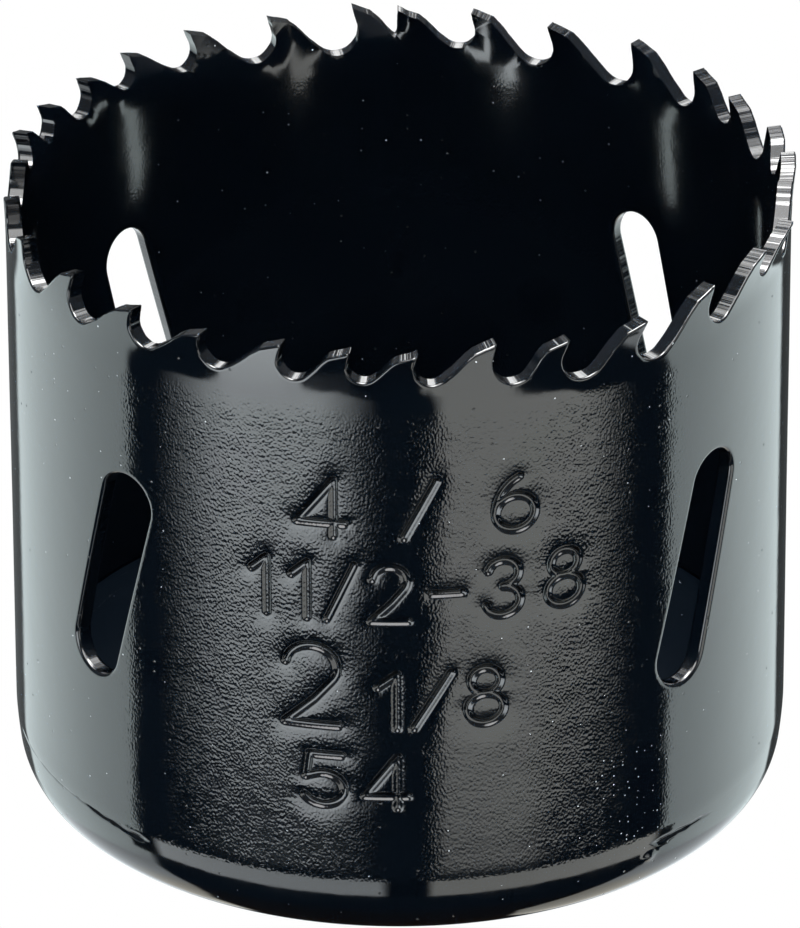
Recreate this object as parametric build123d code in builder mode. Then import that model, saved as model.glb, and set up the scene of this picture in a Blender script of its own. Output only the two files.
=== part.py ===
from build123d import *
import math
import os

os.makedirs("parts", exist_ok=True)

# ---------------------------------------------------------------- driving dimensions, mm
HEIGHT = 44.25          # flat underside of the cap to the tooth tips
WALL_R = 26.45          # outer radius of the rolled strip
WALL_T = 1.2            # thickness of the rolled strip
SEAT_Z = 4.6            # shoulder of the cap that the strip is welded on
CAP_R = 26.5            # outer radius of the cap, its weld to the strip ground flush
CAP_TOP = 5.6           # inner face of the cap
SPIGOT_GAP = 0.05       # spigot of the cap inside the strip
# pressed outer corner of the cap, (radius, height): flank, wide arc, tight arc, underside
CORNER = ((26.5, 4.3), (26.395, 2.6), (25.885, 1.05), (24.06, 0.0))
CORNER_WIDE = 4.0
CORNER_TIGHT = 2.1
THREAD_R = 7.25         # minor radius of the 5/8-18 arbor thread
THREAD_LEAD_IN = 0.7    # countersink at both ends of the thread
PIN_PCD = 27.0          # circle of the drive-pin holes
PIN_R = 3.35            # radius of a drive-pin hole
PIN_COUNT = 4
SLOT_W = 4.2            # plug-ejection slots in the wall
SLOT_L = 16.6
SLOT_Z = 23.5
SLOT_LEAN = 15.5        # degrees from the axis, top towards the cut
SLOT_AZ = (-136.7, -41.25, 45.6, 134.7)
STAMP_W = 0.7           # width of a stamped stroke
STAMP_D = 0.2           # depth of a stamped stroke

WALL_RI = WALL_R - WALL_T

# Teeth, counted towards falling azimuth (azimuth 90 is +Y): azimuth of the rake
# tip, outer radius of the tip after setting, depth of the gullet in front of the rake.
TEETH = [
    (90.02, 26.15, 2.05), (78.45, 26.56, 2.68), (65.52, 26.05, 3.25), (51.31, 26.81, 3.35),
    (37.60, 26.62, 2.90), (27.22, 26.38, 2.32), (15.39, 27.05, 2.74), (6.50, 27.04, 1.90),
    (-2.72, 26.53, 1.99), (-15.80, 27.40, 3.09), (-25.83, 27.07, 2.22), (-39.08, 26.80, 3.14),
    (-53.51, 27.40, 3.50), (-65.69, 27.12, 3.30), (-75.84, 25.99, 2.77), (-87.38, 27.05, 2.41),
    (-96.91, 26.62, 2.18), (-106.92, 26.33, 2.33), (-118.73, 27.00, 2.44), (-130.97, 26.65, 2.51),
    (-145.09, 26.16, 2.91), (-158.56, 26.86, 3.20), (-171.66, 26.59, 3.10), (-183.98, 26.17, 2.88),
    (-193.71, 27.11, 2.13), (-203.26, 26.86, 2.08), (-213.96, 26.70, 2.41), (-224.59, 27.10, 2.03),
    (-236.58, 27.09, 2.39), (-249.82, 26.55, 3.03), (-263.11, 27.11, 3.22),
]
COUNT = len(TEETH)

# Hooked rake and round bottom of a gullet 3.04 deep, from the tip of the tooth behind it.
HOOK = [
    (0.0, 0.0), (-0.08, -0.40), (-0.19, -0.80), (-0.31, -1.25), (-0.34, -1.65),
    (-0.24, -2.05), (-0.03, -2.40), (0.25, -2.70), (0.58, -2.92), (0.95, -3.03),
    (1.36, -3.03), (1.74, -2.93), (2.10, -2.72),
]
# Narrow notch where the two ends of the strip meet.
NOTCH = [(0.0, 0.0), (0.02, -0.7), (0.03, -1.4), (0.08, -1.82), (0.2, -2.03), (0.38, -1.93)]


def gap_to_next(i):
    """Tip-to-tip angle, degrees, over the gullet in front of tooth i."""
    ahead = TEETH[i - 1][0] + (360.0 if i == 0 else 0.0)
    if i == 0:
        ahead = TEETH[COUNT - 1][0] + 360.0
    return ahead - TEETH[i][0]


def gullet_points(i):
    """Profile from the rake tip to the kink before the land, as (arc length, height)."""
    pitch = math.radians(gap_to_next(i)) * WALL_R
    depth = TEETH[i][2]
    if i == 0:
        return NOTCH + [(1.3, -0.98), (pitch - 1.25, -0.47)], pitch
    k = depth / 3.04
    pts = [(x * k, z * k) for x, z in HOOK]
    share = 0.24 + 0.08 * min(max((6.0 - pitch) / 1.2, 0.0), 1.0)
    kink = (pitch - share * pitch, -share * pitch * math.tan(math.radians(18.0)))
    ax, az = pts[-1]
    pts.append((ax + 0.36 * (kink[0] - ax), az + 0.34 * (kink[1] - az)))
    pts.append((ax + 0.72 * (kink[0] - ax), az + 0.74 * (kink[1] - az)))
    pts.append(kink)
    return pts, pitch


# ---------------------------------------------------------------- stamped strokes
def arc(cx, cy, rx, ry, a0, a1, n=10):
    return [
        (cx + rx * math.cos(math.radians(a0 + (a1 - a0) * j / n)),
         cy + ry * math.sin(math.radians(a0 + (a1 - a0) * j / n)))
        for j in range(n + 1)
    ]


GLYPHS = {
    "1": [[(0.0, 0.76), (0.62, 1.0)], [(0.62, 1.0), (0.62, 0.0)]],
    "2": [arc(0.5, 0.73, 0.48, 0.27, 172, -32) + [(0.55, 0.32), (0.0, 0.0)], [(0.0, 0.0), (1.0, 0.0)]],
    "3": [arc(0.47, 0.76, 0.45, 0.24, 165, -90), arc(0.47, 0.26, 0.50, 0.26, 90, -165)],
    "4": [[(0.77, 0.0), (0.77, 1.0)], [(0.77, 1.0), (0.0, 0.22)], [(0.0, 0.22), (1.0, 0.22)]],
    "5": [[(0.92, 1.0), (0.16, 1.0)], [(0.16, 1.0), (0.08, 0.55)],
          [(0.08, 0.55)] + arc(0.48, 0.32, 0.50, 0.32, 120, -150)],
    "6": [arc(0.50, 0.31, 0.50, 0.31, 90, 270), arc(0.50, 0.31, 0.50, 0.31, -90, 90),
          arc(0.92, 0.31, 0.92, 0.69, 180, 112)],
    "8": [arc(0.5, 0.77, 0.40, 0.23, 90, 270), arc(0.5, 0.77, 0.40, 0.23, -90, 90),
          arc(0.5, 0.27, 0.50, 0.27, 90, 270), arc(0.5, 0.27, 0.50, 0.27, -90, 90)],
    "/": [[(0.0, 0.0), (1.0, 1.0)]],
    "-": [[(0.0, 0.5), (1.0, 0.5)]],
}
# glyph, left and right end of the centre line along the wall from the front, bottom and top
STAMPS = [
    ("4", -6.8, -3.6, 30.65, 34.75), ("/", 0.3, 2.4, 30.65, 34.75), ("6", 6.35, 9.1, 30.65, 34.75),
    ("1", -10.0, -8.3, 24.4, 28.5), ("1", -7.2, -5.5, 24.4, 28.5), ("/", -4.8, -3.0, 24.4, 28.5),
    ("2", -1.85, 0.55, 24.4, 28.5), ("-", 2.1, 4.1, 25.4, 27.4), ("3", 5.75, 8.15, 24.4, 28.5),
    ("8", 10.0, 12.5, 24.4, 28.5),
    ("2", -7.75, -4.05, 16.35, 22.3), ("1", -1.45, 0.6, 16.35, 20.4), ("/", 0.95, 3.35, 16.35, 20.4),
    ("8", 4.45, 6.95, 16.4, 20.55),
    ("5", -6.55, -3.65, 10.3, 14.1), ("4", -2.35, 0.5, 10.3, 14.15),
]


def ribbon(points, half):
    """Closed outline of a stroke with round ends."""
    n = len(points)
    normals = []
    for j in range(n):
        x0, y0 = points[max(j - 1, 0)]
        x1, y1 = points[min(j + 1, n - 1)]
        length = math.hypot(x1 - x0, y1 - y0)
        normals.append((-(y1 - y0) / length, (x1 - x0) / length))
    out = [(p[0] + half * q[0], p[1] + half * q[1]) for p, q in zip(points, normals)]
    for end, start_sign in ((n - 1, 1.0), (0, -1.0)):
        px, py = points[end]
        a0 = math.atan2(start_sign * normals[end][1], start_sign * normals[end][0])
        for j in range(1, 6):
            a = a0 - math.pi * j / 6
            out.append((px + half * math.cos(a), py + half * math.sin(a)))
        if end == n - 1:
            out += [
                (p[0] - half * q[0], p[1] - half * q[1])
                for p, q in zip(reversed(points), reversed(normals))
            ]
    return out


def radial_plane(azimuth, radius, height):
    """Plane facing outward: local x runs towards rising azimuth, local y is +Z."""
    a = math.radians(azimuth)
    return Plane(
        origin=(radius * math.cos(a), radius * math.sin(a), height),
        x_dir=(-math.sin(a), math.cos(a), 0),
        z_dir=(math.cos(a), math.sin(a), 0),
    )


def section_plane(azimuth):
    """Plane through the axis: local x is the radius, local y is +Z."""
    a = math.radians(azimuth)
    return Plane(origin=(0, 0, 0), x_dir=(math.cos(a), math.sin(a), 0), z_dir=(math.sin(a), -math.cos(a), 0))


# Mid-gullet azimuths: gullet i lies in front of tooth i and behind tooth i - 1.
MIDS = []
for i in range(COUNT):
    pts, pitch = gullet_points(i)
    low = min(pts, key=lambda q: q[1])
    MIDS.append(TEETH[i][0] + math.degrees(low[0] / WALL_R))

# ---------------------------------------------------------------- toothed shell
RING_TOP = HEIGHT - 4.2
with BuildPart() as toothed_shell:
    # rolled strip
    with BuildSketch(Plane.XZ):
        Polygon((WALL_R, SEAT_Z), (WALL_RI, SEAT_Z), (WALL_RI, RING_TOP), (WALL_R, RING_TOP), align=None)
    revolve(axis=Axis.Z)
    # one leaning sector a tooth: the set bends it in or out above the gullets beside it
    for i in range(COUNT):
        front = MIDS[i]
        back_i = (i + 1) % COUNT
        back = MIDS[back_i] - (0.0 if i < COUNT - 1 else 360.0)
        root = HEIGHT - min(TEETH[i][2], TEETH[back_i][2])
        out = TEETH[i][1] - WALL_R
        with BuildSketch(section_plane(back)):
            Polygon((WALL_RI, RING_TOP), (WALL_R, RING_TOP), (WALL_R, root),
                    (WALL_R + out, HEIGHT), (WALL_RI + out, HEIGHT), (WALL_RI, root), align=None)
        revolve(axis=Axis.Z, revolution_arc=front - back)
    # gullets, cut square through the wall
    for i in range(COUNT):
        pts, pitch = gullet_points(i)
        mid = 0.5 * pitch
        flat = [(WALL_R * math.sin((s - mid) / WALL_R), z) for s, z in pts]
        tip_x = WALL_R * math.sin((pitch - mid) / WALL_R)
        kx, kz = flat[-1]
        slope = -kz / (tip_x - kx)
        rake = (flat[0][0] - flat[1][0]) / (flat[0][1] - flat[1][1])
        top_x = flat[0][0] + 0.5 * rake
        plane = radial_plane(TEETH[i][0] + math.degrees(mid / WALL_R), 20.0, HEIGHT)
        with BuildSketch(plane):
            with BuildLine():
                Spline(*flat)
                Polyline(flat[-1], (tip_x + 1.0, slope), (tip_x + 1.0, 3.0), (top_x, 3.0),
                         (top_x, 0.5), flat[0])
            make_face()
        extrude(amount=12.0, mode=Mode.SUBTRACT)
    # slanted slots with round ends
    for azimuth in SLOT_AZ:
        with BuildSketch(radial_plane(azimuth, 22.0, SLOT_Z)):
            SlotOverall(SLOT_L, SLOT_W, rotation=90.0 - SLOT_LEAN)
        extrude(amount=8.0, mode=Mode.SUBTRACT)
    # stamped numbers
    for glyph, s0, s1, z0, z1 in STAMPS:
        middle, base = 0.5 * (s0 + s1), z0
        azimuth = -90.0 + math.degrees(middle / WALL_R)
        with BuildSketch(radial_plane(azimuth, WALL_R - STAMP_D, base)):
            for stroke in GLYPHS[glyph]:
                points = [(s0 + x * (s1 - s0) - middle, y * (z1 - z0)) for x, y in stroke]
                Polygon(*ribbon(points, STAMP_W / 2), align=None)
        extrude(amount=2.0, mode=Mode.SUBTRACT)
toothed_shell.part.label = "toothed_shell"
export_step(toothed_shell.part, "parts/toothed_shell.step")

# ---------------------------------------------------------------- end cap
SPIGOT_R = WALL_RI - SPIGOT_GAP
with BuildPart() as end_cap:
    with BuildSketch(Plane.XZ):
        with BuildLine():
            Polyline(CORNER[1], CORNER[0], (WALL_R, SEAT_Z), (SPIGOT_R, SEAT_Z),
                     (SPIGOT_R, CAP_TOP - 0.3), (SPIGOT_R - 0.3, CAP_TOP),
                     (THREAD_R + THREAD_LEAD_IN, CAP_TOP), (THREAD_R, CAP_TOP - THREAD_LEAD_IN),
                     (THREAD_R, THREAD_LEAD_IN), (THREAD_R + THREAD_LEAD_IN, 0.0), CORNER[3])
            RadiusArc(CORNER[3], CORNER[2], -CORNER_TIGHT)
            RadiusArc(CORNER[2], CORNER[1], -CORNER_WIDE)
        make_face()
    revolve(axis=Axis.Z)
    # drive-pin holes, broken edges on the driven side
    with BuildSketch(Plane.XY):
        with PolarLocations(PIN_PCD / 2, PIN_COUNT):
            Circle(PIN_R)
    extrude(amount=CAP_TOP + 1.0, mode=Mode.SUBTRACT)
    rims = end_cap.edges().filter_by(GeomType.CIRCLE).filter_by(
        lambda e: abs(e.radius - PIN_R) < 0.01 and abs(e.center().Z) < 0.01)
    chamfer(rims, 0.25)
end_cap.part.label = "end_cap"
export_step(end_cap.part, "parts/end_cap.step")
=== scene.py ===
import math

import bpy
import numpy as np
from mathutils import Matrix, Vector, kdtree, noise
from mathutils.geometry import delaunay_2d_cdt


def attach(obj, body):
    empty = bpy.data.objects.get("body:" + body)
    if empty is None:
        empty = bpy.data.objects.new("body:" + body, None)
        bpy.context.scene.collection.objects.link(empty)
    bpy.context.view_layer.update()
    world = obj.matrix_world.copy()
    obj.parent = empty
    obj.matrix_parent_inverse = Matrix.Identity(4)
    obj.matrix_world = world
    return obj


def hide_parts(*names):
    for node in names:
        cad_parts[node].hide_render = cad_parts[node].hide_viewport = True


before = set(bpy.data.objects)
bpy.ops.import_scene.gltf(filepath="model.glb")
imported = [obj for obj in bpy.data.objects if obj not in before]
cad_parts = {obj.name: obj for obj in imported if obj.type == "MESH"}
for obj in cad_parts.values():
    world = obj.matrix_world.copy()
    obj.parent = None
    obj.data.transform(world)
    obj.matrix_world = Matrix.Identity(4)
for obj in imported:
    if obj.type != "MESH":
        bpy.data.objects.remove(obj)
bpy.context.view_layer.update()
rng = np.random.default_rng(11)
MM = 0.001

# ---------------------------------------------------------------- the saw's dimensions, mm
HEIGHT = 44.25
WALL_R = 26.45
WALL_T = 1.2
WALL_RI = WALL_R - WALL_T
SEAT_Z = 4.6
CAP_TOP = 5.6
SPIGOT_R = WALL_RI - 0.05
THREAD_R = 7.25
THREAD_MAJOR = 7.94
THREAD_PITCH = 25.4 / 18.0
THREAD_LEAD_IN = 0.7
PIN_PCD = 27.0
PIN_R = 3.35
SLOT_W, SLOT_L, SLOT_Z, SLOT_LEAN = 4.2, 16.6, 23.5, 15.5
SLOT_AZ = (-136.7, -41.25, 45.6, 134.7)
TURN = 2.0 * math.pi * WALL_R

# azimuth of the rake tip, outer radius of the set tip, depth of the gullet in front
TEETH = [
    (90.02, 26.15, 2.05), (78.45, 26.56, 2.68), (65.52, 26.05, 3.25), (51.31, 26.81, 3.35),
    (37.60, 26.62, 2.90), (27.22, 26.38, 2.32), (15.39, 27.05, 2.74), (6.50, 27.04, 1.90),
    (-2.72, 26.53, 1.99), (-15.80, 27.40, 3.09), (-25.83, 27.07, 2.22), (-39.08, 26.80, 3.14),
    (-53.51, 27.40, 3.50), (-65.69, 27.12, 3.30), (-75.84, 25.99, 2.77), (-87.38, 27.05, 2.41),
    (-96.91, 26.62, 2.18), (-106.92, 26.33, 2.33), (-118.73, 27.00, 2.44), (-130.97, 26.65, 2.51),
    (-145.09, 26.16, 2.91), (-158.56, 26.86, 3.20), (-171.66, 26.59, 3.10), (-183.98, 26.17, 2.88),
    (-193.71, 27.11, 2.13), (-203.26, 26.86, 2.08), (-213.96, 26.70, 2.41), (-224.59, 27.10, 2.03),
    (-236.58, 27.09, 2.39), (-249.82, 26.55, 3.03), (-263.11, 27.11, 3.22),
]
COUNT = len(TEETH)
HOOK = [
    (0.0, 0.0), (-0.08, -0.40), (-0.19, -0.80), (-0.31, -1.25), (-0.34, -1.65),
    (-0.24, -2.05), (-0.03, -2.40), (0.25, -2.70), (0.58, -2.92), (0.95, -3.03),
    (1.36, -3.03), (1.74, -2.93), (2.10, -2.72),
]
NOTCH = [(0.0, 0.0), (0.02, -0.7), (0.03, -1.4), (0.08, -1.82), (0.2, -2.03), (0.38, -1.93)]
NOTCH_LOW = 4


def gullet_points(i):
    """Profile from the rake tip to the kink before the land, as (arc length, height)."""
    ahead = TEETH[i - 1][0] if i else TEETH[COUNT - 1][0] + 360.0
    pitch = math.radians(ahead - TEETH[i][0]) * WALL_R
    depth = TEETH[i][2]
    if i == 0:
        return NOTCH + [(1.3, -0.98), (pitch - 1.25, -0.47)], pitch
    k = depth / 3.04
    pts = [(x * k, z * k) for x, z in HOOK]
    share = 0.24 + 0.08 * min(max((6.0 - pitch) / 1.2, 0.0), 1.0)
    kink = (pitch - share * pitch, -share * pitch * math.tan(math.radians(18.0)))
    ax, az = pts[-1]
    pts.append((ax + 0.36 * (kink[0] - ax), az + 0.34 * (kink[1] - az)))
    pts.append((ax + 0.72 * (kink[0] - ax), az + 0.74 * (kink[1] - az)))
    pts.append(kink)
    return pts, pitch


# ---------------------------------------------------------------- small curve helpers
def through(points, step):
    """A smooth curve through the points, resampled evenly."""
    p = np.array(points, float)
    p = np.vstack([2 * p[0] - p[1], p, 2 * p[-1] - p[-2]])
    fine = []
    for j in range(1, len(p) - 2):
        a, b, c, d = p[j - 1], p[j], p[j + 1], p[j + 2]
        t0 = 0.0
        t1 = t0 + np.linalg.norm(b - a) ** 0.5
        t2 = t1 + np.linalg.norm(c - b) ** 0.5
        t3 = t2 + np.linalg.norm(d - c) ** 0.5
        t = np.linspace(t1, t2, 24, endpoint=False)[:, None]
        a1 = (t1 - t) / (t1 - t0) * a + (t - t0) / (t1 - t0) * b
        a2 = (t2 - t) / (t2 - t1) * b + (t - t1) / (t2 - t1) * c
        a3 = (t3 - t) / (t3 - t2) * c + (t - t2) / (t3 - t2) * d
        b1 = (t2 - t) / (t2 - t0) * a1 + (t - t0) / (t2 - t0) * a2
        b2 = (t3 - t) / (t3 - t1) * a2 + (t - t1) / (t3 - t1) * a3
        fine.append((t2 - t) / (t2 - t1) * b1 + (t - t1) / (t2 - t1) * b2)
    fine.append(p[-2][None])
    return even(np.vstack(fine), step)


def even(line, step):
    """The polyline resampled at an even spacing near step, ends kept."""
    line = np.array(line, float)
    seg = np.linalg.norm(np.diff(line, axis=0), axis=1)
    arc = np.concatenate([[0.0], np.cumsum(seg)])
    n = max(int(round(arc[-1] / step)), 1)
    at = np.linspace(0.0, arc[-1], n + 1)
    return np.stack([np.interp(at, arc, line[:, 0]), np.interp(at, arc, line[:, 1])], 1)


def smooth(x, a, b):
    t = np.clip((x - a) / (b - a), 0.0, 1.0)
    return t * t * (3.0 - 2.0 * t)


def tree_of(points):
    tree = kdtree.KDTree(len(points))
    for j, q in enumerate(points):
        tree.insert((q[0], q[1], 0.0), j)
    tree.balance()
    return tree


def nearest(tree, points, limit=None):
    out = np.empty(len(points))
    for j, q in enumerate(points):
        out[j] = tree.find((q[0], q[1], 0.0))[2]
    return out


# ---------------------------------------------------------------- outline of the strip, unrolled
TIP_S = [math.radians(t[0]) * WALL_R for t in TEETH]
STEP = 0.13
path = []
tip_marks = []


def extend(piece):
    global path
    path += [tuple(q) for q in (piece[1:] if path else piece)]


pts0, pitch0 = gullet_points(0)
base = TIP_S[0] - TURN
low = NOTCH[NOTCH_LOW]
rise = through([(base + x, z) for x, z in pts0[NOTCH_LOW:]], STEP)
extend(rise)
extend(even([rise[-1], (base + pitch0, 0.0)], 0.2))
tip_marks.append(len(path) - 1)
MIDS = [0.0] * COUNT
for i in range(COUNT - 1, 0, -1):
    pts, pitch = gullet_points(i)
    MIDS[i] = TIP_S[i] + min(pts, key=lambda q: q[1])[0]
    curve = through([(TIP_S[i] + x, z) for x, z in pts], STEP)
    extend(curve)
    extend(even([curve[-1], (TIP_S[i] + pitch, 0.0)], 0.2))
    tip_marks.append(len(path) - 1)
MIDS[0] = TIP_S[0] + low[0]
extend(through([(TIP_S[0] + x, z) for x, z in NOTCH[: NOTCH_LOW + 1]], STEP))
path = np.array(path)
path[:, 1] += HEIGHT
S_LEFT, S_RIGHT = path[0, 0], path[-1, 0]

# cutter marks: the profile wanders by hundredths, the same on both faces of the strip
tangent = np.gradient(path, axis=0)
tangent /= np.linalg.norm(tangent, axis=1)[:, None]
inward = np.stack([tangent[:, 1], -tangent[:, 0]], 1)
wander = rng.normal(0.0, 0.0045, len(path))
wander += np.convolve(rng.normal(0.0, 0.016, len(path)), np.hanning(7) / 3.0, "same")
fixed = {0, 1, len(path) - 2, len(path) - 1}
for m in tip_marks:
    fixed |= {m - 1, m, m + 1}
for m in fixed:
    if 0 <= m < len(path):
        wander[m] = 0.0
path = path + inward * wander[:, None]
is_tip = np.zeros(len(path), bool)
is_tip[tip_marks] = True


def slot_outline(azimuth, grow, step):
    """Round-ended slot, leaning towards rising azimuth at its top, grown by a distance."""
    half, r = 0.5 * (SLOT_L - SLOT_W), 0.5 * SLOT_W + grow
    lean = math.radians(SLOT_LEAN)
    up = np.array([math.sin(lean), math.cos(lean)])
    side = np.array([math.cos(lean), -math.sin(lean)])
    centre = np.array([math.radians(azimuth) * WALL_R, SLOT_Z])
    if centre[0] > S_RIGHT:
        centre[0] -= TURN
    n_round = max(int(math.pi * 2.1 / step), 8)
    n_side = max(int(2 * half / step), 4)
    out = []
    for k in range(n_round):
        a = math.pi * k / n_round
        out.append(centre + up * half + r * (math.cos(a) * side + math.sin(a) * up))
    for k in range(n_side):
        out.append(centre - side * r + up * (half - 2 * half * k / n_side))
    for k in range(n_round):
        a = math.pi + math.pi * k / n_round
        out.append(centre - up * half + r * (math.cos(a) * side + math.sin(a) * up))
    for k in range(n_side):
        out.append(centre + side * r - up * (half - 2 * half * k / n_side))
    return np.array(out)


def slot_distance(points, azimuth):
    """Distance outside the slot's edge, negative inside."""
    lean = math.radians(SLOT_LEAN)
    up = np.array([math.sin(lean), math.cos(lean)])
    c = math.radians(azimuth) * WALL_R
    if c > S_RIGHT:
        c -= TURN
    v = points - np.array([c, SLOT_Z])
    along = np.clip(v @ up, -0.5 * (SLOT_L - SLOT_W), 0.5 * (SLOT_L - SLOT_W))
    return np.linalg.norm(v - along[:, None] * up, axis=1) - 0.5 * SLOT_W


# ---------------------------------------------------------------- stamped strokes
def arc(cx, cy, rx, ry, a0, a1, n=14):
    return [
        (cx + rx * math.cos(math.radians(a0 + (a1 - a0) * j / n)),
         cy + ry * math.sin(math.radians(a0 + (a1 - a0) * j / n)))
        for j in range(n + 1)
    ]


GLYPHS = {
    "1": [[(0.0, 0.76), (0.62, 1.0)], [(0.62, 1.0), (0.62, 0.0)]],
    "2": [arc(0.5, 0.73, 0.48, 0.27, 172, -32) + [(0.55, 0.32), (0.0, 0.0)], [(0.0, 0.0), (1.0, 0.0)]],
    "3": [arc(0.47, 0.76, 0.45, 0.24, 165, -90), arc(0.47, 0.26, 0.50, 0.26, 90, -165)],
    "4": [[(0.77, 0.0), (0.77, 1.0)], [(0.77, 1.0), (0.0, 0.22)], [(0.0, 0.22), (1.0, 0.22)]],
    "5": [[(0.92, 1.0), (0.16, 1.0)], [(0.16, 1.0), (0.08, 0.55)],
          [(0.08, 0.55)] + arc(0.48, 0.32, 0.50, 0.32, 120, -150)],
    "6": [arc(0.50, 0.31, 0.50, 0.31, 0, 360, 28), arc(0.92, 0.31, 0.92, 0.69, 180, 112)],
    "8": [arc(0.5, 0.77, 0.40, 0.23, 0, 360, 28), arc(0.5, 0.27, 0.50, 0.27, 0, 360, 28)],
    "/": [[(0.0, 0.0), (1.0, 1.0)]],
    "-": [[(0.0, 0.5), (1.0, 0.5)]],
}
STAMPS = [
    ("4", -6.8, -3.6, 30.65, 34.75), ("/", 0.3, 2.4, 30.65, 34.75), ("6", 6.35, 9.1, 30.65, 34.75),
    ("1", -10.0, -8.3, 24.4, 28.5), ("1", -7.2, -5.5, 24.4, 28.5), ("/", -4.8, -3.0, 24.4, 28.5),
    ("2", -1.85, 0.55, 24.4, 28.5), ("-", 2.1, 4.1, 25.4, 27.4), ("3", 5.75, 8.15, 24.4, 28.5),
    ("8", 10.0, 12.5, 24.4, 28.5),
    ("2", -7.75, -4.05, 16.35, 22.3), ("1", -1.45, 0.6, 16.35, 20.4), ("/", 0.95, 3.35, 16.35, 20.4),
    ("8", 4.45, 6.95, 16.4, 20.55),
    ("5", -6.55, -3.65, 10.3, 14.1), ("4", -2.35, 0.5, 10.3, 14.15),
]
FRONT_S = -0.5 * math.pi * WALL_R
GROOVE_DEPTH = 0.19
GROOVE_FLOOR, GROOVE_EDGE = 0.03, 0.36
DISH_DEPTH, DISH_WIDTH = 0.05, 0.75
strokes = []
for glyph, s0, s1, z0, z1 in STAMPS:
    for stroke in GLYPHS[glyph]:
        strokes.append(np.array([
            (FRONT_S + s0 + x * (s1 - s0), z0 + y * (z1 - z0)) for x, y in stroke]))
stroke_fine = np.vstack([even(s, 0.02) for s in strokes])
stroke_tree = tree_of(stroke_fine)

# ---------------------------------------------------------------- shape of the wall
EDGE = 0.15       # paint-rounded edges of teeth and gullets
SLOT_EDGE = 0.28  # rounded edges of the slots
top_fine = np.vstack([path, path[:-1] + np.diff(path, axis=0) * 0.34, path[:-1] + np.diff(path, axis=0) * 0.67])
top_fine = np.vstack([top_fine, top_fine[top_fine[:, 0] > S_RIGHT - 3] - [TURN, 0], top_fine[top_fine[:, 0] < S_LEFT + 3] + [TURN, 0]])
top_tree = tree_of(top_fine)

BEND_BELOW, BEND_POWER, BEND_BLEND = 1.2, 1.8, 1.1
order = np.argsort(MIDS)
mid_sorted = np.array(MIDS)[order]


def tooth_set(s, z):
    """How far the setting bends the strip in or out at a point: a rounded bend a tooth."""
    s = np.asarray(s, float)
    s = np.where(s < mid_sorted[0], s + TURN, s)
    slot = np.searchsorted(mid_sorted, s, side="right")
    left, right = mid_sorted[(slot - 1) % COUNT], mid_sorted[slot % COUNT]
    right = np.where(right < left, right + TURN, right)
    tip = np.array([t[1] for t in TEETH]) - WALL_R
    depth = np.array([t[2] for t in TEETH])

    def one(front):
        back = (front + 1) % COUNT
        root = HEIGHT - np.minimum(depth[front], depth[back]) - BEND_BELOW
        return tip[front] * np.clip((z - root) / (HEIGHT - root), 0.0, 1.0) ** BEND_POWER

    here = order[slot % COUNT]
    # neighbours share the bend close to the middle of a gullet
    to_left = 0.5 * (1.0 - smooth(s - left, 0.0, BEND_BLEND))
    to_right = 0.5 * (1.0 - smooth(right - s, 0.0, BEND_BLEND))
    own = 1.0 - to_left - to_right
    return own * one(here) + to_left * one((here + 1) % COUNT) + to_right * one((here - 1) % COUNT)


def corner_profile():
    """Outer profile of the cap from the wall down to the flat underside, (z, radius)."""
    z_steps = np.linspace(SEAT_Z + 1.0, 2.6, 31)
    lean = np.interp(z_steps, [2.6, 3.3, 3.5, 4.1, 4.5, 4.8, 5.15, 5.6], [7.0, 5.9, 5.2, 4.3, 3.7, 2.4, 0.8, 0.0])
    r = [26.495]
    for j in range(1, len(z_steps)):
        mid_lean = math.radians(0.5 * (lean[j] + lean[j - 1]))
        r.append(r[-1] - (z_steps[j - 1] - z_steps[j]) * math.tan(mid_lean))
    z, rr = list(z_steps), r
    a0 = math.radians(7.0)
    cz, cr = z[-1] + 4.0 * math.sin(a0), rr[-1] - 4.0 * math.cos(a0)
    for a in np.linspace(a0, math.radians(30.0), 14)[1:]:
        z.append(cz - 4.0 * math.sin(a))
        rr.append(cr + 4.0 * math.cos(a))
    rest = z[-1]
    tight = rest / (1.0 - math.sin(math.radians(30.0)))
    cz, cr = tight, rr[-1] - tight * math.cos(math.radians(30.0))
    for a in np.linspace(math.radians(30.0), math.radians(90.0), 18)[1:]:
        z.append(cz - tight * math.sin(a))
        rr.append(cr + tight * math.cos(a))
    return np.array(z), np.array(rr)


PROFILE_Z, PROFILE_R = corner_profile()


def wall_radius(z):
    """Outer radius before set, stamps and edges: a shade fuller where the cap is welded on."""
    z = np.asarray(z, float)
    full = WALL_R + (26.495 - WALL_R) * smooth(z, 26.0, 5.6)
    low = np.interp(z, PROFILE_Z[::-1], PROFILE_R[::-1])
    return np.where(z < 5.6, low, full)


def ripple(s, z):
    """Slow waves left by rolling, hundredths of a millimetre."""
    out = np.empty(len(s))
    for j in range(len(s)):
        a = s[j] / WALL_R
        out[j] = noise.noise(Vector((3.1 * math.cos(a), 3.1 * math.sin(a), z[j] * 0.085)))
        out[j] += 0.4 * noise.noise(Vector((9.3 * math.cos(a), 9.3 * math.sin(a), z[j] * 0.25 + 7.0)))
    return out


def edge_drop(d, r):
    x = np.clip(r - np.maximum(d, 0.0), 0.0, r)
    return r - np.sqrt(np.maximum(r * r - x * x, 0.0))


# ---------------------------------------------------------------- sheet triangulation
bottom_s = np.linspace(S_LEFT, S_RIGHT, 361)
seam_low = [4.7, 4.8, 4.9, 5.0, 5.1, 5.2, 5.3, 5.4, 5.5, 5.65, 5.85, 6.15]
NOTCH_Z = path[0, 1]
seam_z = seam_low + list(np.arange(6.7, NOTCH_Z - 0.55, 0.6)) + [
    NOTCH_Z - 0.32, NOTCH_Z - 0.16, NOTCH_Z - EDGE, NOTCH_Z - 0.293 * EDGE]
slots = [slot_outline(a, 0.0, 0.21) for a in SLOT_AZ]


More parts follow.
